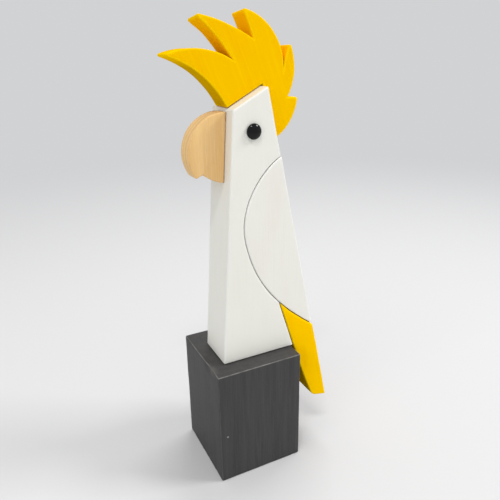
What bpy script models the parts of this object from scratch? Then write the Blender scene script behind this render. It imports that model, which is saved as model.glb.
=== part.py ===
"""Wooden cockatoo figurine: a bird cut from flat boards, standing on a square block.

The bird faces -Y, its left side faces +X and Z is up. The origin is the centre of the
block's bottom face. Sizes are in millimetres, and MM turns them into metres.

Every board lies in the bird's profile, so its outline is a list of (y, z) points, with z
measured from the top of the block. Angles in the profile turn from +Y towards +Z.
"""
from math import acos, asin, atan2, ceil, cos, pi, radians, sin, tan

import bmesh
import bpy
from mathutils import Matrix, Vector
from mathutils.geometry import interpolate_bezier, intersect_line_line_2d

MM = 0.001

# The block that the bird stands on
BLOCK_SIDE = 38.0
BLOCK_HEIGHT = 52.3
BLOCK_EDGE = 0.7

# The board that the body, the wing and the tail are sawn from
BOARD_THICKNESS = 19.0
BOARD_EDGE = 0.6
BOARD_ASIDE = 2.2           # from the block's middle to the board's, towards the bird's left
GLUE_LINE = 0.3             # between two faces that are glued together
CORNER_ROOM = 3.2           # of straight edge beside a sawn corner

# The body, from the foot to the head
FOOT_FRONT = -13.1
FOOT_LENGTH = 32.8
FRONT_LEAN = radians(4.0)
HEAD_FRONT_HEIGHT = 101.0
HEAD_TOP_LENGTH = 15.9
HEAD_TOP_SLOPE = radians(28.0)
BACK_LEAN = radians(11.64)
LOWER_BACK_LEAN = radians(17.4)

# The wing, measured down the back from the peak of the head, and forward from the back
WING_TOP = 25.9
WING_DEEPEST = 54.1
WING_BOTTOM = 101.9
WING_DEPTH = 21.3
WING_PROUD = 0.3            # of the body's back
WING_TOP_ANGLE = radians(76.0)
WING_TOP_PULL = 8.0
WING_UPPER_PULL = 15.6
WING_LOWER_PULL = 17.6
WING_BOTTOM_ANGLE = radians(41.8)
WING_BOTTOM_PULL = 22.1

# The tail, which hangs behind the block
TAIL_LENGTH = 41.0
TAIL_LEAN = radians(11.9)
TAIL_PROUD = 0.8            # of the body's back
TAIL_END_WIDTH = 7.6
TAIL_END_SLOPE = radians(13.0)
TAIL_FRONT_BOW = -0.5       # below 0 where the edge bows towards the block
TAIL_CORNER = 4.0

# The crest, with its points given as (back, up) from the peak of the head
CREST_THICKNESS = 10.6
CREST_EDGE = 0.4
CREST_ASIDE = -0.7          # from the board's middle, towards the bird's right
CREST_SETBACK = 0.1
CREST_BACK_LENGTH = 20.4
CREST_TIPS = ((-34.6, 10.2), (-23.6, 22.3), (-6.9, 24.2), (10.9, 13.1), (14.1, -4.7))
CREST_TIP_WIDTH = 1.15
CREST_NOTCHES = ((-11.5, 9.0), (-3.4, 15.8), (8.9, 6.2), (10.7, -4.6))
CREST_FRONT_BOWS = (-2.7, -0.75, -0.2, 0.2, 0.0)
CREST_BACK_BOWS = (2.5, 0.9, 4.1, 2.1, 2.2)

# The beak, a half disc centred on the front edge of the head
BEAK_THICKNESS = 7.6
BEAK_EDGE = 0.4
BEAK_ASIDE = 0.4
BEAK_DROP = 15.5
BEAK_RADIUS = 14.5
BEAK_HOOK_ANGLE = radians(215.6)
BEAK_NOTCH = (-9.0, -7.2)   # (back, up) from the disc's centre
BEAK_JAW_DROP = 11.2
BEAK_JAW_BOW = -0.6

# The eyes, domed beads on shanks
EYE_DIAMETER = 5.8
EYE_DOME = 1.5
EYE_RIM = 0.4
EYE_SEAT = 0.2              # between the bead and the board
EYE_DROP = 7.2
EYE_SETBACK = 8.2
SHANK_DIAMETER = 2.4
SHANK_LENGTH = 5.0

# The dowels inside the joints that have end grain in them
DOWEL_FIT = 0.25            # around a dowel
DOWEL_END_ROOM = 0.6
DOWEL_CHAMFER = 0.5
FOOT_DOWEL_DIAMETER = 6.0
FOOT_DOWEL_LENGTH = 30.0
FOOT_DOWEL_SETBACK = 7.5
FOOT_DOWEL_SPACING = 14.5
CREST_DOWEL_DIAMETER = 4.0
CREST_DOWEL_LENGTH = 16.0
BEAK_DOWEL_DIAMETER = 4.0
BEAK_DOWEL_LENGTH = 15.0

# How finely the round shapes are cut into flats
ARC_TOLERANCE = 0.02
WING_STEPS = 14
DOWEL_SIDES = 24
EYE_SIDES = 36
DOME_STEPS = 7
EDGE_STEPS = 3
SHARP_ANGLE = radians(45)   # between two faces, above which their edge is rounded
SMOOTH_ANGLE = radians(30)  # between two faces, below which they are shaded as one

# Colour, roughness and coat of each finish
WHITE_PAINT = ("white_paint", (0.78, 0.78, 0.75), 0.45, 0.15)
YELLOW_PAINT = ("yellow_paint", (0.91, 0.50, 0.0), 0.42, 0.15)
BLACK_STAIN = ("black_stain", (0.075, 0.073, 0.073), 0.6, 0.0)
BARE_WOOD = ("bare_wood", (0.73, 0.48, 0.24), 0.6, 0.0)
DOWEL_WOOD = ("dowel_wood", (0.69, 0.52, 0.33), 0.7, 0.0)
BLACK_GLASS = ("black_glass", (0.008, 0.008, 0.009), 0.06, 0.6)


def towards(angle):
    """Unit vector in the profile at an angle."""
    return Vector((cos(angle), sin(angle)))


def sweep(centre, radius, first, last):
    """Points on a circle from one angle to another, both included."""
    steps = max(2, ceil(abs(last - first) / (2 * acos(1 - ARC_TOLERANCE / radius))))
    return [centre + radius * towards(first + (last - first) * i / steps) for i in range(steps + 1)]


def arc(start, end, bow):
    """Points after start up to end, on an arc that stands out by bow to the left of its chord."""
    if bow == 0:
        return [end]
    chord = end - start
    left = Vector((-chord.y, chord.x)).normalized()
    radius = (chord.length_squared / 4 + bow * bow) / (2 * abs(bow))
    side = 1 if bow > 0 else -1
    centre = (start + end) / 2 + left * (bow - side * radius)
    first = atan2(start.y - centre.y, start.x - centre.x)
    half_turn = asin(min(1.0, chord.length / (2 * radius)))
    return sweep(centre, radius, first, first - side * 2 * half_turn)[1:-1] + [end]


def round_end(before, bow_before, start, width, after, bow_after):
    """Points round a feather's blunt tip, between the arc that ends there and the one that leaves."""
    ahead, away = start - before, after - start
    arriving = atan2(ahead.y, ahead.x) - 2 * atan2(2 * bow_before, ahead.length)
    leaving = atan2(away.y, away.x) + 2 * atan2(2 * bow_after, away.length)
    turn = (arriving - leaving) % (2 * pi)
    end = start + width * towards(arriving - turn / 2)
    return arc(start, end, width / 2 * tan(turn / 4))


def fillet(before, corner, after, radius):
    """Points that round a corner to a radius."""
    back, on = (before - corner).normalized(), (after - corner).normalized()
    half = back.angle(on) / 2
    reach = radius / tan(half)
    start, end = corner + back * reach, corner + on * reach
    side = 1 if back.cross(on) > 0 else -1
    return [start] + arc(start, end, side * radius * (1 - sin(half)))


def meeting(point, direction, other_point, other_direction):
    """Where two lines cross."""
    return intersect_line_line_2d(
        point - direction / MM, point + direction / MM,
        other_point - other_direction / MM, other_point + other_direction / MM)


def crossings(path, point, direction):
    """Each place where a path crosses a line, with the index of the path's next point."""
    found = []
    for index in range(1, len(path)):
        hit = intersect_line_line_2d(
            path[index - 1], path[index], point - direction / MM, point + direction / MM)
        if hit:
            found.append((hit, index))
    return found


def stretch(path, start, end):
    """The points of a path from one crossing to another, with none close enough to crowd them."""
    between = [point for point in path[start[1]:end[1]]
               if min((point - start[0]).length, (point - end[0]).length) > CORNER_ROOM]
    return [start[0]] + between + [end[0]]


# Directions and corners that the pieces share
front_up = towards(pi / 2 - FRONT_LEAN)
front_out = towards(pi - FRONT_LEAN)
top_back = towards(HEAD_TOP_SLOPE)
top_out = towards(HEAD_TOP_SLOPE + pi / 2)
back_down = towards(BACK_LEAN - pi / 2)
back_out = towards(BACK_LEAN)
lower_up = towards(LOWER_BACK_LEAN + pi / 2)
lower_out = towards(LOWER_BACK_LEAN)
tail_down = towards(TAIL_LEAN - pi / 2)
foot_front = Vector((FOOT_FRONT, 0))
foot_back = Vector((FOOT_FRONT + FOOT_LENGTH, 0))
head_front = foot_front + front_up * HEAD_FRONT_HEIGHT / cos(FRONT_LEAN)
peak = head_front + top_back * HEAD_TOP_LENGTH
beak_centre = head_front - front_up * BEAK_DROP


def on_back(down, forward):
    """A point by its way down the back from the peak, and forward from the back."""
    return peak + back_down * down - back_out * forward


def wing_edge(gap=0.0):
    """The wing's round front edge from top to bottom, moved forward by a gap."""
    top = on_back(WING_TOP, -WING_PROUD)
    deepest = on_back(WING_DEEPEST, WING_DEPTH)
    bottom = on_back(WING_BOTTOM, -WING_PROUD)
    top_pull = WING_TOP_PULL * towards(BACK_LEAN - pi / 2 - WING_TOP_ANGLE)
    bottom_pull = WING_BOTTOM_PULL * towards(BACK_LEAN + pi / 2 + WING_BOTTOM_ANGLE)
    upper = interpolate_bezier(top, top + top_pull,
                               deepest - back_down * WING_UPPER_PULL, deepest, WING_STEPS)
    lower = interpolate_bezier(deepest, deepest + back_down * WING_LOWER_PULL,
                               bottom + bottom_pull, bottom, WING_STEPS)
    path = upper + lower[1:]
    if gap == 0:
        return path
    path = [2 * path[0] - path[1]] + path + [2 * path[-1] - path[-2]]
    moved = []
    for index, point in enumerate(path):
        along = path[min(index + 1, len(path) - 1)] - path[max(index - 1, 0)]
        moved.append(point + gap * Vector((along.y, -along.x)).normalized())
    return moved


def body_outline():
    """Foot, lower back, the hollow that the wing sits in, back of the head, top and front."""
    seat_path = wing_edge(GLUE_LINE)
    seat_top = crossings(seat_path, peak, back_down)[0]
    seat_bottom = crossings(seat_path, foot_back, lower_up)[-1]
    sole_front = foot_front + front_up * GLUE_LINE / cos(FRONT_LEAN)
    sole_back = foot_back + lower_up * GLUE_LINE / cos(LOWER_BACK_LEAN)
    seat = stretch(seat_path, seat_top, seat_bottom)
    return [sole_front, sole_back] + seat[::-1] + [peak, head_front]


def tail_outline():
    """Along the wing, down behind the body and the block, and round the end."""
    front_start = foot_back + lower_out * GLUE_LINE
    back_start = on_back(WING_BOTTOM, -TAIL_PROUD)
    end_back = back_start + tail_down * TAIL_LENGTH
    end_front = end_back - towards(-TAIL_END_SLOPE) * TAIL_END_WIDTH
    top_path = wing_edge(GLUE_LINE)
    top_front = crossings(top_path, front_start, lower_up)[-1]
    top_back_end = crossings(top_path, back_start, tail_down)[-1]
    front = arc(front_start, end_front, TAIL_FRONT_BOW)
    corner = fillet(front[-2], end_front, end_back, TAIL_CORNER)
    return stretch(top_path, top_front, top_back_end)[::-1] + [front_start] + front[:-1] + corner + [end_back]


def crest_outline():
    """Up the front feather and over each tip and notch to the nape, and back along the head."""
    tips = [peak + Vector(tip) for tip in CREST_TIPS]
    notches = [peak + Vector(notch) for notch in CREST_NOTCHES]
    front = head_front + top_back * CREST_SETBACK + top_out * GLUE_LINE
    nape = on_back(CREST_BACK_LENGTH, -GLUE_LINE)
    inner_corner = meeting(front, top_back, nape, back_down)
    outline = [front]
    for tip, after, front_bow, back_bow in zip(tips, notches + [nape], CREST_FRONT_BOWS, CREST_BACK_BOWS):
        before = outline[-1]
        outline += arc(before, tip, front_bow)
        outline += round_end(before, front_bow, tip, CREST_TIP_WIDTH, after, back_bow)
        outline += arc(outline[-1], after, back_bow)
    return outline + [inner_corner]


def beak_outline():
    """Round the disc from the forehead to the hook, into the notch and along the jaw."""
    seat = front_out * GLUE_LINE
    first = asin(GLUE_LINE / BEAK_RADIUS) + pi / 2 - FRONT_LEAN
    notch = beak_centre + Vector(BEAK_NOTCH)
    jaw = beak_centre - front_up * BEAK_JAW_DROP + seat
    return sweep(beak_centre, BEAK_RADIUS, first, BEAK_HOOK_ANGLE) + [notch] + arc(notch, jaw, BEAK_JAW_BOW)


def new_collection(name):
    collection = bpy.data.collections.new(name)
    bpy.context.scene.collection.children.link(collection)
    return collection


def finish(name, colour, roughness, coat):
    """A painted, stained or bare surface."""
    material = bpy.data.materials.get(name)
    if material:
        return material
    material = bpy.data.materials.new(name)
    material.use_nodes = True
    shader = material.node_tree.nodes["Principled BSDF"]
    shader.inputs["Base Color"].default_value = (*colour, 1)
    shader.inputs["Roughness"].default_value = roughness
    shader.inputs["Metallic"].default_value = 0.0
    shader.inputs["Coat Weight"].default_value = coat
    material.diffuse_color = (*colour, 1)
    return material


def add_piece(name, mesh, look):
    """An object of the figurine with its material, shaded smooth between its edges."""
    mesh.name = name
    mesh.materials.clear()
    mesh.materials.append(finish(*look))
    mesh.shade_smooth()
    mesh.set_sharp_from_angle(angle=SMOOTH_ANGLE)
    piece = bpy.data.objects.new(name, mesh)
    piece.parent = figurine
    pieces.objects.link(piece)
    return piece


def round_edges(piece, width, steps=EDGE_STEPS):
    """Round over the sharp edges that stand out, and leave those inside a notch as sawn."""
    form = bmesh.new()
    form.from_mesh(piece.data)
    weight = form.edges.layers.float.new("bevel_weight_edge")
    for edge in form.edges:
        if edge.is_convex and edge.calc_face_angle() > SHARP_ANGLE:
            edge[weight] = 1
    form.to_mesh(piece.data)
    form.free()
    bevel = piece.modifiers.new("edges", "BEVEL")
    bevel.width = width * MM
    bevel.segments = steps
    bevel.limit_method = "WEIGHT"
    bevel.use_clamp_overlap = False


def in_profile(point, aside=0.0):
    """A profile point's place in space, by its distance from the middle of the board."""
    return Vector((BOARD_ASIDE + aside, point.x, BLOCK_HEIGHT + point.y)) * MM


def board(name, outline, thickness, aside, edge, look):
    """A flat board sawn to an outline, with its edges rounded over."""
    drawing = bpy.data.curves.new(name, "CURVE")
    drawing.dimensions = "2D"
    drawing.fill_mode = "BOTH"
    drawing.extrude = thickness / 2 * MM
    line = drawing.splines.new("POLY")
    line.points.add(len(outline) - 1)
    for place, point in zip(line.points, outline):
        place.co = (point.x * MM, point.y * MM, 0, 1)
    line.use_cyclic_u = True
    drawn = bpy.data.objects.new(name + "_outline", drawing)
    drawn.matrix_world = Matrix.Translation(in_profile(Vector((0, 0)), aside)) @ PROFILE_TO_SPACE
    pieces.objects.link(drawn)

    mesh = bpy.data.meshes.new_from_object(drawn.evaluated_get(bpy.context.evaluated_depsgraph_get()))
    form = bmesh.new()
    form.from_mesh(mesh)
    bmesh.ops.remove_doubles(form, verts=form.verts, dist=0.01 * MM)
    bmesh.ops.dissolve_limit(form, angle_limit=radians(0.5), verts=form.verts, edges=form.edges)
    bmesh.ops.recalc_face_normals(form, faces=form.faces)
    form.to_mesh(mesh)
    form.free()
    piece = add_piece(name, mesh, look)
    piece.matrix_world = drawn.matrix_world
    bpy.data.objects.remove(drawn)
    round_edges(piece, edge)
    return piece


def rod_mesh(name, diameter, length):
    mesh = bpy.data.meshes.new(name)
    form = bmesh.new()
    bmesh.ops.create_cone(form, cap_ends=True, segments=DOWEL_SIDES, radius1=diameter / 2 * MM,
                          radius2=diameter / 2 * MM, depth=length * MM)
    form.to_mesh(mesh)
    form.free()
    return mesh


def dowel(name, centre, along, diameter, length):
    """A plain dowel with chamfered ends, centred at a place and lying in a direction."""
    piece = add_piece(name, rod_mesh(name, diameter, length), DOWEL_WOOD)
    piece.matrix_world = Matrix.Translation(centre) @ along.to_track_quat("Z", "Y").to_matrix().to_4x4()
    round_edges(piece, DOWEL_CHAMFER, steps=1)
    return piece


def bore(targets, name, centre, along, diameter, length):
    """A round hole cut from each of the pieces that it passes into."""
    cutter = bpy.data.objects.new(name, rod_mesh(name, diameter, length))
    cutter.matrix_world = Matrix.Translation(centre) @ along.to_track_quat("Z", "Y").to_matrix().to_4x4()
    cutter.hide_render = True
    cutter.display_type = "WIRE"
    cutters.objects.link(cutter)
    for target in targets:
        cut = target.modifiers.new(name, "BOOLEAN")
        cut.operation = "DIFFERENCE"
        cut.solver = "EXACT"
        cut.object = cutter


def dowel_joint(name, centre, along, diameter, length, joined):
    """A dowel and the hole for it in the two pieces that it joins."""
    dowel(name, centre, along, diameter, length)
    bore(joined, name + "_hole", centre, along, diameter + 2 * DOWEL_FIT, length + 2 * DOWEL_END_ROOM)


def make_block():
    mesh = bpy.data.meshes.new("base_block")
    form = bmesh.new()
    size = Matrix.Diagonal((BLOCK_SIDE * MM, BLOCK_SIDE * MM, BLOCK_HEIGHT * MM, 1))
    bmesh.ops.create_cube(form, size=1, matrix=Matrix.Translation((0, 0, BLOCK_HEIGHT / 2 * MM)) @ size)
    form.to_mesh(mesh)
    form.free()
    block = add_piece("base_block", mesh, BLACK_STAIN)
    round_edges(block, BLOCK_EDGE)
    return block


def make_eye(name, side, body):
    """A domed bead whose shank sits in a blind hole, on the left (side 1) or the right (-1)."""
    radius, shank = EYE_DIAMETER / 2, SHANK_DIAMETER / 2
    dome = [(radius * sin(pi / 2 * i / DOME_STEPS), EYE_RIM + EYE_DOME * cos(pi / 2 * i / DOME_STEPS))
            for i in range(DOME_STEPS + 1)]
    profile = dome + [(radius, 0), (shank, 0), (shank, -SHANK_LENGTH), (0, -SHANK_LENGTH)]
    mesh = bpy.data.meshes.new(name)
    mesh.from_pydata([(across * MM, 0, up * MM) for across, up in profile],
                     [(i, i + 1) for i in range(len(profile) - 1)], [])
    eye = add_piece(name, mesh, BLACK_GLASS)
    turned = eye.modifiers.new("turned", "SCREW")
    turned.steps = turned.render_steps = EYE_SIDES
    turned.use_merge_vertices = True
    turned.merge_threshold = 0.01 * MM

    outwards = Vector((side, 0, 0))
    centre = head_front - front_up * EYE_DROP - front_out * EYE_SETBACK
    foot = in_profile(centre, side * (BOARD_THICKNESS / 2 + EYE_SEAT))
    eye.matrix_world = Matrix.Translation(foot) @ outwards.to_track_quat("Z", "Y").to_matrix().to_4x4()
    hole_depth = SHANK_LENGTH + DOWEL_END_ROOM
    bore([body], name + "_hole", foot - outwards * (hole_depth / 2 - EYE_SEAT) * MM, outwards,
         SHANK_DIAMETER + 2 * DOWEL_FIT, hole_depth + 2 * EYE_SEAT)


for old in list(bpy.data.objects):
    bpy.data.objects.remove(old)

# The profile's y and z lie along the world's Y and Z, and a board's thickness along X
PROFILE_TO_SPACE = Matrix(((0, 0, 1, 0), (1, 0, 0, 0), (0, 1, 0, 0), (0, 0, 0, 1)))
pieces = new_collection("cockatoo_figurine")
cutters = new_collection("hole_cutters")
figurine = bpy.data.objects.new("figurine", None)
pieces.objects.link(figurine)

block = make_block()
body = board("body", body_outline(), BOARD_THICKNESS, 0, BOARD_EDGE, WHITE_PAINT)
wing = board("wing", wing_edge(), BOARD_THICKNESS, 0, BOARD_EDGE, WHITE_PAINT)
tail = board("tail", tail_outline(), BOARD_THICKNESS, 0, BOARD_EDGE, YELLOW_PAINT)
crest = board("crest", crest_outline(), CREST_THICKNESS, CREST_ASIDE, CREST_EDGE, YELLOW_PAINT)
beak = board("beak", beak_outline(), BEAK_THICKNESS, BEAK_ASIDE, BEAK_EDGE, BARE_WOOD)
make_eye("eye_left", 1, body)
make_eye("eye_right", -1, body)

up = Vector((0, 0, 1))
for name, setback in (("foot_dowel_front", FOOT_DOWEL_SETBACK),
                      ("foot_dowel_back", FOOT_DOWEL_SETBACK + FOOT_DOWEL_SPACING)):
    dowel_joint(name, in_profile(foot_front + Vector((setback, 0))), up,
                FOOT_DOWEL_DIAMETER, FOOT_DOWEL_LENGTH, (block, body))
dowel_joint("crest_dowel", in_profile(head_front + top_back * HEAD_TOP_LENGTH / 2, CREST_ASIDE),
            Vector((0, *top_out)), CREST_DOWEL_DIAMETER, CREST_DOWEL_LENGTH, (body, crest))
dowel_joint("beak_dowel", in_profile(beak_centre, BEAK_ASIDE),
            Vector((0, *front_out)), BEAK_DOWEL_DIAMETER, BEAK_DOWEL_LENGTH, (body, beak))
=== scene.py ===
"""Looks of the wooden cockatoo figurine: stained block, painted boards, clear-coated beak, bead eyes.

The bird faces -Y, its left side faces +X and Z is up, in metres. Each section is one piece, in
the order in which the figurine is put together.
"""
from math import cos, pi, radians, sin

import bmesh
import bpy
from mathutils import Matrix, Vector, noise
from mathutils.kdtree import KDTree


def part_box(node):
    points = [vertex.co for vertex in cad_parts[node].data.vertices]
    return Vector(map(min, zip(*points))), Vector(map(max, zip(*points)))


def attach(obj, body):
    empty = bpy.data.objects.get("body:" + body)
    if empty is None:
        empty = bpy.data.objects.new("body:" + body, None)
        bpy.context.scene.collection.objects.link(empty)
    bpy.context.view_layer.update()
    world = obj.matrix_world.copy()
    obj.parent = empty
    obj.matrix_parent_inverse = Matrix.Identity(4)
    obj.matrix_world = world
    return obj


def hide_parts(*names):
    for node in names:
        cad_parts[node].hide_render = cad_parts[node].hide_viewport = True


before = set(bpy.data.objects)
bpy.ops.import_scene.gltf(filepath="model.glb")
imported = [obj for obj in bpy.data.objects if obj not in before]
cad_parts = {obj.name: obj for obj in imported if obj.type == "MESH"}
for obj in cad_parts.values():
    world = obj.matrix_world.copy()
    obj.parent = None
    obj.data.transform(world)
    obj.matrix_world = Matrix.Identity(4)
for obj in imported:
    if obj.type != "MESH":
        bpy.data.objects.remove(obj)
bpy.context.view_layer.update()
MM = 0.001


# The block: 38 mm square planed pine that stands with its grain upright, its edges sanded round.
# Thin black stain lets the grain show, is lighter along the edges, partly rubbed pale and partly a
# painted highlight that is strongest on the upward edges, has its top face painted lighter as if lit
# from above, and is scuffed on the front top edge.
BLOCK_STAIN = (0.058, 0.057, 0.057)
BLOCK_STAIN_DEEP = (0.047, 0.046, 0.047)
BLOCK_RUBBED_AND_TOP_LIGHT = (0.165, 0.155, 0.145)
BLOCK_WORN_AND_HIGHLIGHT = (0.260, 0.250, 0.235)          # along the edges, worn and painted highlight
BLOCK_BARE = (0.180, 0.170, 0.155)          # in the scuff
BLOCK_GLOSS = 0.12
BLOCK_PITH = (-58 * MM, 9 * MM, 0)          # the tree's heart, outside the block
BLOCK_GRAIN = (2.3 * MM, 7.0 * MM, 0.5 * MM)    # between growth layers, their waver, a fibre's width
BLOCK_STREAK = 3.2 * MM                     # across a streak of the stain
BLOCK_PATCH = 6 * MM                        # across a patch of wear and painted highlight on an edge
BLOCK_SCUFF = Vector((11 * MM, -19 * MM, 52.3 * MM))
BLOCK_SCUFF_SQUEEZE = (0.75, 1.7, 1.2)
BLOCK_SCUFF_FADE = (3.2 * MM, 8.5 * MM)     # from its middle to where it starts to fade and ends
BLOCK_SCUFF_RAGGED = 7 * MM                 # that its outline comes and goes
BLOCK_SCUFF_TEAR = 2.2 * MM                 # across a tear in its outline
BLOCK_DENT = 0.42 * MM                      # that the wood is crushed there
BLOCK_DENT_REACH = 7 * MM
BLOCK_DENT_TEAR = 2.5 * MM
BLOCK_DENT_LOWEST = 50 * MM
BLOCK_FLECK = (0.42, 0.40, 0.35)
BLOCK_FLECK_PLACE = (19 * MM, -15.8 * MM, 22.6 * MM)
BLOCK_FLECK_FADE = (0.45 * MM, 0.75 * MM)
BLOCK_FLECK_RAGGED = 0.5 * MM
BLOCK_RELIEF = 0.07 * MM                    # of the grain that is felt through the stain
GRAIN_BEND = 14 * MM                        # across a bend in the growth layers
GRID = 1.6 * MM                             # between the cuts that divide a surface evenly
CUT_REACH = 0.002 * MM                      # from a cut, within which a point lies on it
SLIVER = 0.03 * MM                          # between two points that count as one
FLAT = radians(0.2)                         # between two triangles of one flat face, at most
ROUNDED = radians(11)                       # between two faces, above which they make an edge
SHARP = radians(38)                         # between two faces, above which they are shaded apart


def feed(tree, socket, value):
    """Link a socket to another node's output, or set its value."""
    if isinstance(value, bpy.types.NodeSocket):
        tree.links.new(value, socket)
    else:
        socket.default_value = value


def add(tree, kind, inputs, **settings):
    """A node with its settings and its inputs, by name or by number."""
    made = tree.nodes.new(kind)
    for name, value in settings.items():
        setattr(made, name, value)
    for key, value in inputs.items():
        feed(tree, made.inputs[key], value)
    return made


def calc(tree, operation, *values):
    """The result of a Math node."""
    return add(tree, "ShaderNodeMath", dict(enumerate(values)), operation=operation).outputs[0]


def vector(tree, operation, *values):
    """The result of a Vector Math node, a number where the operation gives one."""
    made = add(tree, "ShaderNodeVectorMath", dict(enumerate(values)), operation=operation)
    return made.outputs["Value" if operation in ("LENGTH", "DISTANCE", "DOT_PRODUCT") else "Vector"]


def ease(tree, value, low, high, start=0.0, end=1.0):
    """A smooth step from start at low to end at high."""
    inputs = {"Value": value, "From Min": low, "From Max": high, "To Min": start, "To Max": end}
    return add(tree, "ShaderNodeMapRange", inputs, interpolation_type="SMOOTHSTEP").outputs["Result"]


def blend(tree, factor, first, second):
    """The second colour over the first, by a factor."""
    inputs = {0: factor, 6: rgba(first), 7: rgba(second)}
    return add(tree, "ShaderNodeMix", inputs, data_type="RGBA").outputs[2]


def rgba(colour):
    """A plain colour with its alpha, and a node's output as it is."""
    return (*colour, 1) if isinstance(colour, tuple) and len(colour) == 3 else colour


def cloud(tree, place, size, detail=2.0, rough=0.5):
    """Soft noise whose blotches are about a size across."""
    inputs = {"Vector": place, "Scale": 1 / size, "Detail": detail, "Roughness": rough}
    return add(tree, "ShaderNodeTexNoise", inputs).outputs["Fac"]


def shader_group(name, inputs, outputs):
    """An empty shader group with its named sockets."""
    tree = bpy.data.node_groups.new(name, "ShaderNodeTree")
    for socket_name, kind, value in inputs:
        socket = tree.interface.new_socket(socket_name, in_out="INPUT", socket_type=kind)
        socket.default_value = value
    for socket_name in outputs:
        tree.interface.new_socket(socket_name, in_out="OUTPUT", socket_type="NodeSocketFloat")
    return tree, tree.nodes.new("NodeGroupInput").outputs, tree.nodes.new("NodeGroupOutput").inputs


def wood_grain():
    """Growth layers about the Z axis and the fine fibres along it."""
    tree, given, result = shader_group("wood_grain", (
        ("Place", "NodeSocketVector", (0, 0, 0)),
        ("Layer Spacing", "NodeSocketFloat", 2 * MM),
        ("Waver", "NodeSocketFloat", 2 * MM),
        ("Fibre Width", "NodeSocketFloat", 0.4 * MM)), ("Layers", "Fibres", "Pores"))
    drawn_out = vector(tree, "MULTIPLY", given["Place"], (1, 1, 0.10))
    either_way = calc(tree, "SUBTRACT", cloud(tree, drawn_out, GRAIN_BEND), 0.5)
    waver = calc(tree, "MULTIPLY", either_way, given["Waver"])
    across = vector(tree, "LENGTH", vector(tree, "MULTIPLY", given["Place"], (1, 1, 0)))
    years = calc(tree, "DIVIDE", calc(tree, "ADD", across, waver), given["Layer Spacing"])
    season = calc(tree, "FRACT", years)
    late = calc(tree, "MULTIPLY", ease(tree, season, 0.35, 0.86), ease(tree, season, 0.90, 1.0, 1.0, 0.0))
    year = add(tree, "ShaderNodeTexWhiteNoise", {"W": calc(tree, "FLOOR", years)},
               noise_dimensions="1D").outputs["Value"]
    feed(tree, result["Layers"], calc(tree, "MULTIPLY", late, calc(tree, "MULTIPLY_ADD", year, 0.6, 0.4)))

    inputs = {"Vector": vector(tree, "MULTIPLY", given["Place"], (1, 1, 0.022)),
              "Scale": calc(tree, "DIVIDE", 1.0, given["Fibre Width"]), "Detail": 3.0, "Roughness": 0.62}
    feed(tree, result["Fibres"], add(tree, "ShaderNodeTexNoise", inputs).outputs["Fac"])
    inputs = {"Vector": vector(tree, "MULTIPLY", given["Place"], (1, 1, 0.07)),
              "Scale": calc(tree, "DIVIDE", 1.6, given["Fibre Width"]), "Detail": 0.0}
    pores = add(tree, "ShaderNodeTexNoise", inputs).outputs["Fac"]
    feed(tree, result["Pores"], ease(tree, pores, 0.66, 0.76))
    return tree


WOOD_GRAIN = wood_grain()


def grain_in(tree, place, spacing, waver, fibre):
    """The wood grain's masks, at a place measured from the tree's heart."""
    inputs = {"Place": place, "Layer Spacing": spacing, "Waver": waver, "Fibre Width": fibre}
    return add(tree, "ShaderNodeGroup", inputs, node_tree=WOOD_GRAIN).outputs


def surface(name, lean=0.0, **plain):
    """A new material: its tree, its shader's inputs with their plain values, and the place on the
    piece, turned so that a grain that leans runs along Z."""
    material = bpy.data.materials.new(name)
    material.use_nodes = True
    tree = material.node_tree
    shader = tree.nodes["Principled BSDF"].inputs
    for socket_name, value in plain.items():
        shader[socket_name.replace("_", " ")].default_value = value
    place = tree.nodes.new("ShaderNodeTexCoord").outputs["Object"]
    place = add(tree, "ShaderNodeMapping", {"Vector": place, "Rotation": (-lean, 0, 0)}).outputs[0]
    return material, tree, shader, place


def relief(tree, shader, height, depth):
    """Bump from a height of 0 to 1 that stands for a real depth."""
    inputs = {"Height": height, "Distance": depth, "Strength": 1.0}
    feed(tree, shader["Normal"], add(tree, "ShaderNodeBump", inputs).outputs["Normal"])


def moved(tree, place, away):
    """A place measured from another point."""
    return vector(tree, "SUBTRACT", place, away)


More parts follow.
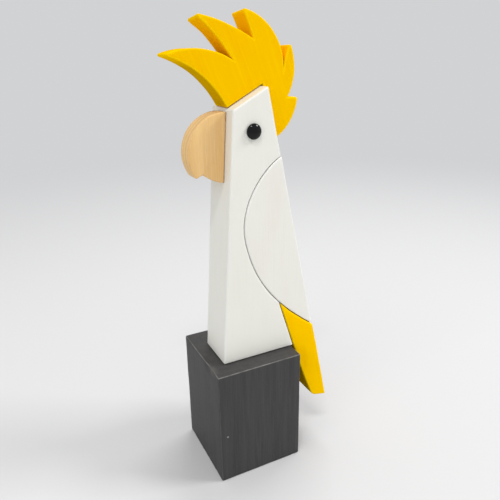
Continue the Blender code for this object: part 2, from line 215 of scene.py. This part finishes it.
def black_stain():
    """Thin stain that the grain shows through, worn and with a painted highlight along the edges, painted
    lighter on top, scuffed and with one fleck.
    """
    material, tree, shader, place = surface("black_stain", Specular_IOR_Level=BLOCK_GLOSS)
    grain = grain_in(tree, moved(tree, place, BLOCK_PITH), *BLOCK_GRAIN)
    streak = cloud(tree, vector(tree, "MULTIPLY", place, (1, 1, 0.05)), BLOCK_STREAK, 5.0, 0.65)
    soaked = calc(tree, "MULTIPLY_ADD", grain["Layers"], 0.10, calc(tree, "MULTIPLY", streak, 0.9))
    colour = blend(tree, ease(tree, soaked, 0.36, 0.66), BLOCK_STAIN, BLOCK_STAIN_DEEP)
    pale_fibres = ease(tree, grain["Fibres"], 0.50, 0.80, 0.0, 0.17)
    colour = blend(tree, pale_fibres, colour, BLOCK_RUBBED_AND_TOP_LIGHT)
    facing = vector(tree, "ABSOLUTE", tree.nodes.new("ShaderNodeTexCoord").outputs["Normal"])
    facing = add(tree, "ShaderNodeSeparateXYZ", {0: facing}).outputs
    # Painted light: the upward face is made lighter, as if lit from above.
    colour = blend(tree, ease(tree, facing["Z"], 0.5, 1.0, 0.0, 0.09), colour, BLOCK_RUBBED_AND_TOP_LIGHT)

    # Lighter edges: partly wear, partly a painted highlight, strongest on the edges that face up.
    patch = ease(tree, cloud(tree, place, BLOCK_PATCH, 4.0, 0.65), 0.34, 0.66, 0.25, 0.9)
    squarest = calc(tree, "MAXIMUM", calc(tree, "MAXIMUM", facing["X"], facing["Y"]), facing["Z"])
    rub_and_highlight = calc(tree, "MULTIPLY", ease(tree, squarest, 0.76, 0.96, 1.0, 0.0), patch)
    rub_and_highlight = calc(tree, "MULTIPLY", rub_and_highlight, ease(tree, facing["Z"], 0.2, 0.6, 0.25, 1.0))
    colour = blend(tree, rub_and_highlight, colour, BLOCK_WORN_AND_HIGHLIGHT)

    squeezed = vector(tree, "MULTIPLY", moved(tree, place, tuple(BLOCK_SCUFF)), BLOCK_SCUFF_SQUEEZE)
    torn = cloud(tree, place, BLOCK_SCUFF_TEAR, 4.0, 0.7)
    ragged = calc(tree, "MULTIPLY_ADD", torn, BLOCK_SCUFF_RAGGED, vector(tree, "LENGTH", squeezed))
    scuff = ease(tree, ragged, *BLOCK_SCUFF_FADE, 1.0, 0.0)
    colour = blend(tree, calc(tree, "MULTIPLY", scuff, 0.42), colour, BLOCK_BARE)

    spot = vector(tree, "DISTANCE", place, BLOCK_FLECK_PLACE)
    spot = calc(tree, "MULTIPLY_ADD", cloud(tree, place, BLOCK_FLECK_RAGGED), BLOCK_FLECK_RAGGED, spot)
    colour = blend(tree, ease(tree, spot, *BLOCK_FLECK_FADE, 0.85, 0.0), colour, BLOCK_FLECK)
    feed(tree, shader["Base Color"], colour)
    dry = calc(tree, "MULTIPLY_ADD", grain["Fibres"], 0.22, 0.40)
    feed(tree, shader["Roughness"], calc(tree, "MULTIPLY_ADD", scuff, 0.15, dry))
    height = calc(tree, "MULTIPLY_ADD", grain["Pores"], -0.7, grain["Fibres"])
    height = calc(tree, "MULTIPLY_ADD", grain["Layers"], 0.2, height)
    relief(tree, shader, height, BLOCK_RELIEF)
    return material


def worked_copy(name, node, spacing=GRID):
    """A piece's own copy of a CAD node: whole faces cut to an even grid, with each point's way to
    the nearest rounded edge kept in the attribute from_edge."""
    form = bmesh.new()
    form.from_mesh(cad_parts[node].data)
    bmesh.ops.remove_doubles(form, verts=form.verts, dist=SLIVER)
    bmesh.ops.dissolve_limit(form, angle_limit=FLAT, verts=form.verts, edges=form.edges)
    low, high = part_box(node)
    for axis in range(3):
        normal = Vector((0, 0, 0))
        normal[axis] = 1
        cuts = round((high[axis] - low[axis]) / spacing)
        for i in range(1, cuts):
            point = low + (high - low) * i / cuts
            bmesh.ops.bisect_plane(form, geom=form.verts[:] + form.edges[:] + form.faces[:],
                                   dist=CUT_REACH, plane_co=point, plane_no=normal)
    bmesh.ops.remove_doubles(form, verts=form.verts, dist=SLIVER)
    rounded = {v for e in form.edges if e.calc_face_angle(0) > ROUNDED for v in e.verts}
    tree = KDTree(len(rounded))
    for index, vertex in enumerate(rounded):
        tree.insert(vertex.co, index)
    tree.balance()
    reach = form.verts.layers.float.new("from_edge")
    for vertex in form.verts:
        vertex[reach] = tree.find(vertex.co)[2]
    mesh = bpy.data.meshes.new(name)
    form.to_mesh(mesh)
    form.free()
    mesh.shade_smooth()
    mesh.set_sharp_from_angle(angle=SHARP)
    piece = bpy.data.objects.new(name, mesh)
    bpy.context.scene.collection.objects.link(piece)
    return piece


def geometry_group(name, inputs):
    """An empty Geometry Nodes tree with its named sockets."""
    tree = bpy.data.node_groups.new(name, "GeometryNodeTree")
    tree.interface.new_socket("Geometry", in_out="INPUT", socket_type="NodeSocketGeometry")
    for socket_name, kind, value in inputs:
        socket = tree.interface.new_socket(socket_name, in_out="INPUT", socket_type=kind)
        if value is not None:
            socket.default_value = value
    tree.interface.new_socket("Geometry", in_out="OUTPUT", socket_type="NodeSocketGeometry")
    return tree, tree.nodes.new("NodeGroupInput").outputs, tree.nodes.new("NodeGroupOutput").inputs


def dressed(tree, geometry, material):
    """Realize the instances and set the material, as every tree here ends."""
    real = add(tree, "GeometryNodeRealizeInstances", {"Geometry": geometry}).outputs["Geometry"]
    return add(tree, "GeometryNodeSetMaterial", {"Geometry": real, "Material": material}).outputs["Geometry"]


def sanded_edges():
    """Rounded edges taken down unevenly, as by sandpaper held in the hand."""
    tree, given, result = geometry_group("sanded_edges", (
        ("Depth", "NodeSocketFloat", 0.15 * MM),
        ("Band", "NodeSocketFloat", 0.3 * MM),
        ("Stroke Length", "NodeSocketFloat", 9 * MM),
        ("Seed", "NodeSocketFloat", 0.0),
        ("Material", "NodeSocketMaterial", None)))
    where = tree.nodes.new("GeometryNodeInputPosition").outputs[0]
    inputs = {"Vector": where, "W": given["Seed"], "Detail": 2.0,
              "Scale": calc(tree, "DIVIDE", 1.0, given["Stroke Length"])}
    uneven = add(tree, "ShaderNodeTexNoise", inputs, noise_dimensions="4D").outputs["Fac"]
    from_edge = add(tree, "GeometryNodeInputNamedAttribute", {"Name": "from_edge"},
                    data_type="FLOAT").outputs["Attribute"]
    here = ease(tree, from_edge, 0.0, given["Band"], 1.0, 0.0)
    deep = calc(tree, "MULTIPLY", calc(tree, "MULTIPLY", ease(tree, uneven, 0.3, 0.7), here), given["Depth"])
    inwards = add(tree, "ShaderNodeVectorMath", {
        0: tree.nodes.new("GeometryNodeInputNormal").outputs[0],
        "Scale": calc(tree, "MULTIPLY", deep, -1.0)}, operation="SCALE").outputs["Vector"]
    worn = add(tree, "GeometryNodeSetPosition", {"Geometry": given["Geometry"], "Offset": inwards})
    feed(tree, result["Geometry"], dressed(tree, worn.outputs["Geometry"], given["Material"]))
    return tree


SANDED_EDGES = sanded_edges()


def shaped(piece, tree, **values):
    """Run a tree on a piece with its named inputs, shade its flat faces flat and its rounded edges
    smooth, and keep the result as a plain mesh."""
    change = piece.modifiers.new(tree.name, "NODES")
    change.node_group = tree
    sockets = {item.name: item.identifier for item in tree.interface.items_tree if item.in_out == "INPUT"}
    for name, value in values.items():
        change[sockets[name.replace("_", " ")]] = value
    shading = piece.modifiers.new("flat_faces", "WEIGHTED_NORMAL")
    shading.mode = "FACE_AREA"
    shading.keep_sharp = True
    seen = piece.evaluated_get(bpy.context.evaluated_depsgraph_get())
    mesh = bpy.data.meshes.new_from_object(seen, preserve_all_data_layers=True,
                                           depsgraph=bpy.context.evaluated_depsgraph_get())
    piece.modifiers.clear()
    piece.data = mesh


def finished(piece, node):
    """The piece takes the place of its CAD node."""
    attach(piece, "root")
    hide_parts(node)


block = worked_copy("block", "base_block")
for vertex in block.data.vertices:
    near = 1 - (vertex.co - BLOCK_SCUFF).length / BLOCK_DENT_REACH
    if near > 0 and vertex.co.z > BLOCK_DENT_LOWEST:
        crushed = 0.5 + 0.5 * noise.noise(vertex.co / BLOCK_DENT_TEAR)
        vertex.co += Vector((0, BLOCK_DENT, -BLOCK_DENT)) * crushed * min(1, 2 * near)
shaped(block, SANDED_EDGES, Depth=0.10 * MM, Stroke_Length=12 * MM, Seed=1.0, Material=black_stain())
finished(block, "base_block")


# The body: head, breast and foot sawn as one from a 19 mm planed board, hollowed at the back for
# the wing, sanded and brushed with white satin paint that follows the upright grain.
WHITE = (0.805, 0.802, 0.740)
WHITE_WARM = (0.795, 0.785, 0.715)
WHITE_COOL = (0.785, 0.785, 0.740)
# painted highlight along the rounded edges:
WHITE_EDGE_HIGHLIGHT = (0.840, 0.840, 0.805)
BODY_PITH = (-70 * MM, 6 * MM, 0)
BOARD_GRAIN = (3.2 * MM, 4.0 * MM, 0.6 * MM)
PAINT_ROUGHNESS = 0.36                      # and up to 0.16 more in a brush stroke
PAINT_MOTTLE = 13 * MM                      # across a blotch
BRUSH_STROKE = 1.4 * MM                     # across
PAINT_EDGE_HIGHLIGHT = 0.5 * MM                       # the painted highlight beside a rounded edge
PAINT_PIMPLE = 0.8 * MM                     # across
PAINT_RELIEF = 0.05 * MM                    # of all that is felt in the paint
SAW_RIPPLE = 0.9 * MM                       # across
RIM_SHADE_FADE = 4 * MM                           # over which the painted shade on the rim ends


def saw_marks(tree, place):
    """Fine ripples straight across a board's sawn edge, from 0 to 1."""
    along_rim = cloud(tree, vector(tree, "MULTIPLY", place, (0.04, 1, 1)), SAW_RIPPLE, 2.0)
    facing = tree.nodes.new("ShaderNodeTexCoord").outputs["Normal"]
    sideways = calc(tree, "ABSOLUTE", add(tree, "ShaderNodeSeparateXYZ", {0: facing}).outputs["X"])
    return calc(tree, "MULTIPLY", along_rim, ease(tree, sideways, 0.3, 0.8, 1.0, 0.0))


def painted(name, pith, paint, second, third, edge_highlight, lean=0.0, rim=None, rim_shade_top=1.0, **plain):
    """Brushed satin paint over planed wood, thin enough for the grain to be felt, with a painted
    highlight along the rounded edges. A sawn rim that faces forward or down gets painted shade in
    the rim colour, where one is given, up to a height that is a metre, above everything, unless it is
    given too."""
    material, tree, shader, place = surface(name, lean, **plain)
    from_edge = add(tree, "ShaderNodeAttribute", {}, attribute_name="from_edge").outputs["Fac"]
    grain = grain_in(tree, moved(tree, place, pith), *BOARD_GRAIN)
    mottle = cloud(tree, vector(tree, "MULTIPLY", place, (1, 1, 0.35)), PAINT_MOTTLE, 4.0, 0.6)
    stroke = cloud(tree, vector(tree, "MULTIPLY", place, (1, 1, 0.05)), BRUSH_STROKE, 3.0, 0.6)
    colour = blend(tree, ease(tree, mottle, 0.42, 0.70), paint, second)
    colour = blend(tree, ease(tree, stroke, 0.45, 0.80, 0.0, 0.6), colour, third)
    # Painted shade: rims that face forward or down, away from the lamps above, are darker, up to a height.
    if rim:
        on_piece = tree.nodes.new("ShaderNodeTexCoord").outputs
        forward = vector(tree, "DOT_PRODUCT", on_piece["Normal"], (0, -0.8, -0.6))
        up = add(tree, "ShaderNodeSeparateXYZ", {0: on_piece["Object"]}).outputs["Z"]
        deep = calc(tree, "MULTIPLY", ease(tree, forward, 0.1, 0.9, 0.0, 0.85),
                    ease(tree, up, rim_shade_top, rim_shade_top + RIM_SHADE_FADE, 1.0, 0.0))
        colour = blend(tree, deep, colour, rim)
    # Painted highlight: a lighter band along each rounded edge.
    colour = blend(tree, ease(tree, from_edge, 0.0, PAINT_EDGE_HIGHLIGHT, 0.55, 0.0), colour, edge_highlight)
    feed(tree, shader["Base Color"], colour)
    feed(tree, shader["Roughness"], calc(tree, "MULTIPLY_ADD", stroke, 0.16, PAINT_ROUGHNESS))
    height = calc(tree, "MULTIPLY_ADD", stroke, 0.8, calc(tree, "MULTIPLY", grain["Fibres"], 0.5))
    height = calc(tree, "MULTIPLY_ADD", grain["Layers"], 0.35, height)
    height = calc(tree, "ADD", height, calc(tree, "MULTIPLY", cloud(tree, place, PAINT_PIMPLE), 0.3))
    height = calc(tree, "ADD", height, calc(tree, "MULTIPLY", saw_marks(tree, place), 0.9))
    relief(tree, shader, height, PAINT_RELIEF)
    return material


body = worked_copy("body_board", "body")
white_paint = painted("white_paint", BODY_PITH, WHITE, WHITE_WARM, WHITE_COOL, WHITE_EDGE_HIGHLIGHT)
shaped(body, SANDED_EDGES, Depth=0.09 * MM, Stroke_Length=9 * MM, Seed=2.0, Material=white_paint)
finished(body, "body")


# The wing: a half-moon of the same board, sanded and painted by itself, then glued into the hollow
# of the back, so that its own rounded edge shows all along the joint.
WING_WHITE = (0.805, 0.799, 0.738)
WING_WHITE_WARM = (0.800, 0.770, 0.712)
WING_PITH = (-60 * MM, 40 * MM, 0)

wing = worked_copy("wing_board", "wing")
wing_paint = painted("wing_white_paint", WING_PITH, WING_WHITE, WING_WHITE_WARM, WHITE_COOL,
                     WHITE_EDGE_HIGHLIGHT)
shaped(wing, SANDED_EDGES, Depth=0.09 * MM, Stroke_Length=9 * MM, Seed=3.0, Material=wing_paint)
finished(wing, "wing")


# The tail: the same board again in yellow satin paint, glued under the wing and behind the foot.
# It hangs clear of the block.
# The tail's yellow is painted lighter than the crest's, to make up for the less light that reaches the tail.
TAIL_YELLOW_LIGHTENED = (0.965, 0.555, 0.000)
YELLOW_DEEP = (0.890, 0.480, 0.000)
YELLOW_LIGHT = (0.945, 0.570, 0.000)
# painted highlight along the rounded edges:
YELLOW_EDGE_HIGHLIGHT = (0.970, 0.640, 0.002)
# painted shade on rims that face forward or down:
YELLOW_RIM_SHADE = (0.560, 0.330, 0.000)
YELLOW_GLOSS = 0.0
TAIL_PITH = (-60 * MM, -10 * MM, 0)
TAIL_GRAIN_LEAN = radians(12)

tail = worked_copy("tail_board", "tail")
yellow_paint = painted("yellow_paint", TAIL_PITH, TAIL_YELLOW_LIGHTENED, YELLOW_DEEP, YELLOW_LIGHT, YELLOW_EDGE_HIGHLIGHT,
                       TAIL_GRAIN_LEAN, YELLOW_RIM_SHADE, Specular_IOR_Level=YELLOW_GLOSS)
shaped(tail, SANDED_EDGES, Depth=0.09 * MM, Stroke_Length=8 * MM, Seed=4.0, Material=yellow_paint)
finished(tail, "tail")


# The crest: five swept feathers and the nape, fret-sawn as one from a thinner board, painted yellow
# and dowelled to the slope of the head.
CREST_YELLOW = (0.900, 0.515, 0.000)
CREST_PITH = (-45 * MM, -20 * MM, 0)
CREST_GRAIN_LEAN = radians(22)
CREST_RIM_SHADE_TOP = 167 * MM                    # above it the feathers' rims lose their painted shade
CREST_SLANTS = (                            # tip's y and z, and how far its far corner is sanded off
    ((-15.6 * MM, 183.1 * MM), (0.55 * MM, -1.0 * MM)),
    ((1.1 * MM, 185.0 * MM), (0.40 * MM, -0.8 * MM)))
CREST_SLANT_REACH = 7 * MM

crest = worked_copy("crest_board", "crest")
near_side, far_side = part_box("crest")[1].x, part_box("crest")[0].x
for tip, push in CREST_SLANTS:
    for vertex in crest.data.vertices:
        near = 1 - (vertex.co.yz - Vector(tip)).length / CREST_SLANT_REACH
        if near > 0:
            across = (near_side - vertex.co.x) / (near_side - far_side)
            vertex.co.yz += Vector(push) * across * min(1, 1.4 * near)
crest_paint = painted("crest_yellow_paint", CREST_PITH, CREST_YELLOW, YELLOW_DEEP, YELLOW_LIGHT,
                      YELLOW_EDGE_HIGHLIGHT, CREST_GRAIN_LEAN, YELLOW_RIM_SHADE, CREST_RIM_SHADE_TOP,
                      Specular_IOR_Level=YELLOW_GLOSS)
shaped(crest, SANDED_EDGES, Depth=0.08 * MM, Stroke_Length=8 * MM, Seed=5.0, Material=crest_paint)
finished(crest, "crest")


# The beak: a half disc with a hook and a notch, fret-sawn from thin pale wood whose growth layers
# lie along its faces and show as lines round its rim, with a clear satin coat.
BEAK_EARLY = (0.830, 0.550, 0.245)
BEAK_LATE = (0.610, 0.345, 0.120)
BEAK_PALE = (0.865, 0.630, 0.330)
BEAK_PITH = (-64 * MM, -12 * MM, 0)
BEAK_GRAIN = (2.3 * MM, 3.4 * MM, 0.45 * MM)
BEAK_GLOSS = 0.04
BEAK_RELIEF = 0.05 * MM
BEAK_GRID = 1.2 * MM


def varnished_wood():
    """Pale wood under a clear coat, with its growth layers, fibres and pores."""
    material, tree, shader, place = surface("beak_wood", Specular_IOR_Level=BEAK_GLOSS)
    grain = grain_in(tree, moved(tree, place, BEAK_PITH), *BEAK_GRAIN)
    colour = blend(tree, calc(tree, "MULTIPLY", grain["Layers"], 0.75), BEAK_EARLY, BEAK_LATE)
    colour = blend(tree, ease(tree, grain["Fibres"], 0.45, 0.75, 0.0, 0.45), colour, BEAK_PALE)
    colour = blend(tree, calc(tree, "MULTIPLY", grain["Pores"], 0.12), colour, BEAK_LATE)
    feed(tree, shader["Base Color"], colour)
    feed(tree, shader["Roughness"], calc(tree, "MULTIPLY_ADD", grain["Fibres"], 0.2, 0.34))
    height = calc(tree, "MULTIPLY_ADD", grain["Pores"], -0.5, grain["Fibres"])
    height = calc(tree, "ADD", height, calc(tree, "MULTIPLY", saw_marks(tree, place), 0.6))
    relief(tree, shader, height, BEAK_RELIEF)
    return material


beak = worked_copy("beak_board", "beak", spacing=BEAK_GRID)
shaped(beak, SANDED_EDGES, Depth=0.07 * MM, Stroke_Length=6 * MM, Seed=6.0, Material=varnished_wood())
finished(beak, "beak")


# The glue: thin films of brown wood glue left in the joints, a little way in from the faces, where
# the sawn edges meet. Each is laid on one piece and reaches its neighbour. The film under the foot
# is near black, painted shade in that joint.
GLUE_GREY = (0.680, 0.640, 0.570)
GLUE_BROWN = (0.260, 0.170, 0.070)
GLUE_AMBER = (0.560, 0.330, 0.070)
GLUE_PINKISH = (0.560, 0.380, 0.250)
GLUE_DARK_AND_SHADE = (0.110, 0.080, 0.055)
GLUE_ROUGHNESS = 0.55
GLUE_LUMP = 0.8 * MM                        # across
GLUE_RELIEF = 0.08 * MM
GLUE_LIFT = 0.01 * MM                       # off the piece that the film is laid on
GLUE_MERGE = 0.001 * MM                     # between two points of a film that count as one


def glue_film():
    """The faces that look at a neighbour across a narrow gap, thickened to all but fill it."""
    tree, given, result = geometry_group("glue_film", (
        ("Neighbour", "NodeSocketObject", None),
        ("Reach", "NodeSocketFloat", 0.40 * MM),
        ("Thickness", "NodeSocketFloat", 0.28 * MM),
        ("Middle", "NodeSocketFloat", 0.0),
        ("Shrink", "NodeSocketFloat", 0.1),
        ("Material", "NodeSocketMaterial", None)))
    beyond = add(tree, "GeometryNodeObjectInfo", {"Object": given["Neighbour"]}).outputs["Geometry"]
    gap = add(tree, "GeometryNodeProximity", {0: beyond}, target_element="FACES").outputs["Distance"]
    normal = tree.nodes.new("GeometryNodeInputNormal").outputs[0]
    sideways = calc(tree, "ABSOLUTE", add(tree, "ShaderNodeSeparateXYZ", {0: normal}).outputs["X"])
    facing = calc(tree, "MULTIPLY", calc(tree, "LESS_THAN", gap, given["Reach"]),
                  calc(tree, "LESS_THAN", sideways, 0.3))
    seat = add(tree, "GeometryNodeSeparateGeometry", {"Geometry": given["Geometry"], "Selection": facing},
               domain="FACE").outputs["Selection"]
    where = add(tree, "ShaderNodeSeparateXYZ", {0: tree.nodes.new("GeometryNodeInputPosition").outputs[0]})
    from_middle = calc(tree, "SUBTRACT", given["Middle"], where.outputs["X"])
    inwards = calc(tree, "MULTIPLY", from_middle, given["Shrink"])
    clear = vector(tree, "MULTIPLY", normal, (GLUE_LIFT, GLUE_LIFT, GLUE_LIFT))
    shift = vector(tree, "ADD", add(tree, "ShaderNodeCombineXYZ", {"X": inwards}).outputs[0], clear)
    seat = add(tree, "GeometryNodeSetPosition", {"Geometry": seat, "Offset": shift}).outputs["Geometry"]
    thick = add(tree, "GeometryNodeExtrudeMesh", {"Mesh": seat, "Offset Scale": given["Thickness"],
                                                  "Individual": False}).outputs["Mesh"]
    under = add(tree, "GeometryNodeFlipFaces", {"Mesh": seat}).outputs["Mesh"]
    both = add(tree, "GeometryNodeJoinGeometry", {"Geometry": thick})
    feed(tree, both.inputs["Geometry"], under)
    whole = add(tree, "GeometryNodeMergeByDistance", {
        "Geometry": both.outputs["Geometry"], "Distance": GLUE_MERGE}).outputs["Geometry"]
    feed(tree, result["Geometry"], dressed(tree, whole, given["Material"]))
    return tree


def dried_glue(name, colour):
    """Glue of a colour, lumpy and a little darker in places."""
    material, tree, shader, place = surface(name, Roughness=GLUE_ROUGHNESS)
    lumps = cloud(tree, place, GLUE_LUMP, 3.0)
    feed(tree, shader["Base Color"], blend(tree, ease(tree, lumps, 0.4, 0.7, 0.0, 0.25), colour, GLUE_DARK_AND_SHADE))
    relief(tree, shader, lumps, GLUE_RELIEF)
    return material


GLUE_FILM = glue_film()
for name, node, neighbour, setback, colour in (
        # Painted shade: the near black film under the foot.
        ("glue_foot", "body", "base_block", 0.9 * MM, GLUE_DARK_AND_SHADE),
        ("glue_wing", "wing", "body", 0.25 * MM, GLUE_GREY),
        ("glue_tail_top", "tail", "wing", 0.6 * MM, GLUE_BROWN),
        ("glue_tail_front", "tail", "body", 0.6 * MM, GLUE_BROWN),
        ("glue_crest", "crest", "body", 0.35 * MM, GLUE_AMBER),
        ("glue_beak", "beak", "body", 0.15 * MM, GLUE_PINKISH)):
    film = worked_copy(name, node)
    low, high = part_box(node)
    shaped(film, GLUE_FILM, Neighbour=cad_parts[neighbour], Middle=(low.x + high.x) / 2,
           Shrink=setback / ((high.x - low.x) / 2), Material=dried_glue(name, colour))
    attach(film, "root")


# The eyes: two glossy black domed beads, each turned in one piece with the shank behind it. The
# shanks are pressed into holes in the head until the beads all but touch it.
BEAD_SEGMENTS = 72
BEAD_RINGS = 18
BEAD_RIM = 0.4 * MM                         # from the flat back to where the dome starts
BEAD_BACK_EDGE = 0.25 * MM                  # that the rim draws in at the back
BEAD_RIM_STEPS = 3
BEAD_SHARP = radians(50)
SHANK_RADIUS = 1.2 * MM
SHANK_LENGTH = 5 * MM
BEAD_BLACK = (0.002, 0.002, 0.002)
BEAD_BLUISH = (0.004, 0.005, 0.007)
BEAD_GLOSS = 0.26
BEAD_HAZE = 1.1 * MM                        # across a patch of it
BEAD_WAVE = 1.6 * MM                        # across
BEAD_RELIEF = 0.01 * MM


def black_bead():
    """Glossy black with a faint haze and the slightest unevenness."""
    material, tree, shader, place = surface("black_bead", Specular_IOR_Level=BEAD_GLOSS)
    haze = cloud(tree, place, BEAD_HAZE, 3.0)
    feed(tree, shader["Base Color"], blend(tree, ease(tree, haze, 0.5, 0.8), BEAD_BLACK, BEAD_BLUISH))
    feed(tree, shader["Roughness"], ease(tree, haze, 0.35, 0.75, 0.03, 0.10))
    relief(tree, shader, cloud(tree, place, BEAD_WAVE), BEAD_RELIEF)
    return material


def bead_mesh(name, node, side):
    """The turned bead, from the node's own box: a dome, a rounded rim, a flat back and the shank."""
    low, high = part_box(node)
    centre = (low + high) / 2
    radius = (high.y - low.y) / 2
    front = high.x if side > 0 else -low.x
    dome = high.x - low.x - SHANK_LENGTH - BEAD_RIM
    profile = []
    for i in range(BEAD_RINGS + 1):
        turn = pi / 2 * i / BEAD_RINGS
        profile.append((radius * sin(turn), front - dome + dome * cos(turn)))
    foot = front - dome - BEAD_RIM
    for i in range(1, BEAD_RIM_STEPS + 1):
        turn = pi / 2 * i / BEAD_RIM_STEPS
        profile.append((radius - BEAD_BACK_EDGE * (1 - cos(turn)), foot + BEAD_RIM * (1 - sin(turn))))
    profile += [(SHANK_RADIUS, foot), (SHANK_RADIUS, foot - SHANK_LENGTH)]
    form = bmesh.new()
    rings = []
    for across, out in profile:
        if across == 0:
            rings.append([form.verts.new((side * out, centre.y, centre.z))])
            continue
        rings.append([form.verts.new((side * out, centre.y + across * cos(2 * pi * i / BEAD_SEGMENTS),
                                      centre.z + across * sin(2 * pi * i / BEAD_SEGMENTS)))
                      for i in range(BEAD_SEGMENTS)])
    for inner, outer in zip(rings, rings[1:]):
        for i in range(BEAD_SEGMENTS):
            j = (i + 1) % BEAD_SEGMENTS
            if len(inner) == 1:
                form.faces.new((inner[0], outer[i], outer[j]))
            else:
                form.faces.new((inner[i], outer[i], outer[j], inner[j]))
    form.faces.new(rings[-1])
    bmesh.ops.recalc_face_normals(form, faces=form.faces)
    mesh = bpy.data.meshes.new(name)
    form.to_mesh(mesh)
    form.free()
    mesh.shade_smooth()
    mesh.set_sharp_from_angle(angle=BEAD_SHARP)
    return mesh


bead_finish = black_bead()
for name, node, side in (("bead_left", "eye_left", 1), ("bead_right", "eye_right", -1)):
    bead = bpy.data.objects.new(name, bead_mesh(name, node, side))
    bpy.context.scene.collection.objects.link(bead)
    bead.data.materials.append(bead_finish)
    finished(bead, node)


# The dowels: four plain beech pins with chamfered ends, glued into the joints of the foot, the
# crest and the beak, out of sight. They keep the shape of the frame's own solids.
DOWEL_BEECH = (0.69, 0.52, 0.33)
DOWEL_BEECH_DARK = (0.52, 0.35, 0.20)
DOWEL_GRAIN = (1.4 * MM, 2.0 * MM, 0.4 * MM)
DOWEL_ROUGHNESS = 0.7
DOWEL_RELIEF = 0.05 * MM


def beech():
    """Bare beech with fine fibres."""
    material, tree, shader, place = surface("dowel_beech", Roughness=DOWEL_ROUGHNESS)
    grain = grain_in(tree, place, *DOWEL_GRAIN)
    feed(tree, shader["Base Color"], blend(tree, grain["Fibres"], DOWEL_BEECH, DOWEL_BEECH_DARK))
    relief(tree, shader, grain["Fibres"], DOWEL_RELIEF)
    return material


dowel_beech = beech()
for node in ("foot_dowel_front", "foot_dowel_back", "crest_dowel", "beak_dowel"):
    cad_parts[node].material_slots[0].material = dowel_beech


# The stage: a pale floor that fades into a pale surround, the room's own soft light, and four area
# lamps: one behind the bird's left, one above that side, a long strip behind its right, and a broad
# one in front that the gloss doesn't show.
FLOOR = (0.64, 0.64, 0.645)
FLOOR_RADIUS = 3.0
FLOOR_DROP = 0.05 * MM                      # below the block, so that the two don't flicker
FLOOR_FADE = (0.16, 0.75)                   # from the middle to where the fade starts and ends
SURROUND = (0.64, 0.645, 0.655)
ROOM_LIGHT = 0.52

floor_form = bmesh.new()
bmesh.ops.create_circle(floor_form, cap_ends=True, segments=96, radius=FLOOR_RADIUS)
floor_mesh = bpy.data.meshes.new("floor")
floor_form.to_mesh(floor_mesh)
floor_form.free()
floor = bpy.data.objects.new("floor", floor_mesh)
floor.location.z = -FLOOR_DROP
bpy.context.scene.collection.objects.link(floor)
floor_finish = bpy.data.materials.new("floor")
floor_finish.use_nodes = True
tree = floor_finish.node_tree
shader = tree.nodes["Principled BSDF"]
shader.inputs["Base Color"].default_value = rgba(FLOOR)
shader.inputs["Roughness"].default_value = 0.9
shader.inputs["Specular IOR Level"].default_value = 0.1
far = vector(tree, "LENGTH", tree.nodes.new("ShaderNodeTexCoord").outputs["Object"])
glow = add(tree, "ShaderNodeEmission", {"Color": rgba(SURROUND), "Strength": 1.0})
rays = tree.nodes.new("ShaderNodeLightPath").outputs
seen = calc(tree, "MAXIMUM", rays["Is Camera Ray"], rays["Is Glossy Ray"])
seen = calc(tree, "MULTIPLY", seen, ease(tree, far, *FLOOR_FADE))
mixed = add(tree, "ShaderNodeMixShader", {0: seen, 1: shader.outputs[0], 2: glow.outputs[0]})
feed(tree, tree.nodes["Material Output"].inputs["Surface"], mixed.outputs[0])
floor_mesh.materials.append(floor_finish)

world = bpy.data.worlds.new("room")
world.use_nodes = True
tree = world.node_tree
tree.nodes.clear()
rays = tree.nodes.new("ShaderNodeLightPath").outputs
shown = calc(tree, "MAXIMUM", rays["Is Camera Ray"], rays["Is Glossy Ray"])
air_colour = blend(tree, shown, (ROOM_LIGHT,) * 3, SURROUND)
air = add(tree, "ShaderNodeBackground", {"Color": air_colour, "Strength": 1.0})
sky = tree.nodes.new("ShaderNodeOutputWorld")
feed(tree, sky.inputs["Surface"], air.outputs[0])
bpy.context.scene.world = world

LAMPS = (                                   # name, place, width, height, watts, seen in gloss
    ("behind", (0.55, 1.15, 1.15), 0.50, 0.35, 12.0, True),
    ("above", (0.72, -0.42, 1.50), 0.50, 0.15, 7.9, True),
    ("strip", (-0.55, 0.62, 1.45), 1.00, 0.14, 8.0, True),
    ("front", (0.80, -1.45, 0.90), 1.10, 1.10, 6.3, False))
AIM = Vector((0, 0, 0.09))
for name, place, width, height, watts, in_gloss in LAMPS:
    lamp = bpy.data.lights.new(name, "AREA")
    lamp.shape = "RECTANGLE"
    lamp.size = width
    lamp.size_y = height
    lamp.energy = watts
    hung = bpy.data.objects.new(name, lamp)
    hung.location = place
    hung.rotation_euler = (AIM - Vector(place)).to_track_quat("-Z", "Y").to_euler()
    hung.visible_glossy = in_gloss
    bpy.context.scene.collection.objects.link(hung)


# The camera: close to the bird's left, a little in front of it and level with its crest. It looks
# down through a short lens, so that the upright edges draw together downwards.
CAMERA_PLACE = (179.45 * MM, -82.95 * MM, 172.42 * MM)
CAMERA_AZIMUTH = radians(63.827)
CAMERA_ELEVATION = radians(21.007)
CAMERA_ROLL = radians(-0.9986)
CAMERA_LENS = 37.37                         # focal length, for the sensor width below
CAMERA_SENSOR = 36.0
CAMERA_NEAREST = 10 * MM                    # that it sees

optics = bpy.data.cameras.new("camera")
optics.lens = CAMERA_LENS
optics.sensor_width = CAMERA_SENSOR
optics.clip_start = CAMERA_NEAREST
camera = bpy.data.objects.new("camera", optics)
bpy.context.scene.collection.objects.link(camera)
back = Vector((sin(CAMERA_AZIMUTH) * cos(CAMERA_ELEVATION),
               -cos(CAMERA_AZIMUTH) * cos(CAMERA_ELEVATION), sin(CAMERA_ELEVATION)))
level = Vector((cos(CAMERA_AZIMUTH), sin(CAMERA_AZIMUTH), 0))
turned = Matrix((level, back.cross(level), back)).transposed().to_4x4()
camera.matrix_world = Matrix.Translation(CAMERA_PLACE) @ turned @ Matrix.Rotation(CAMERA_ROLL, 4, "Z")
bpy.context.scene.camera = camera
bpy.context.scene.view_settings.view_transform = "Standard"
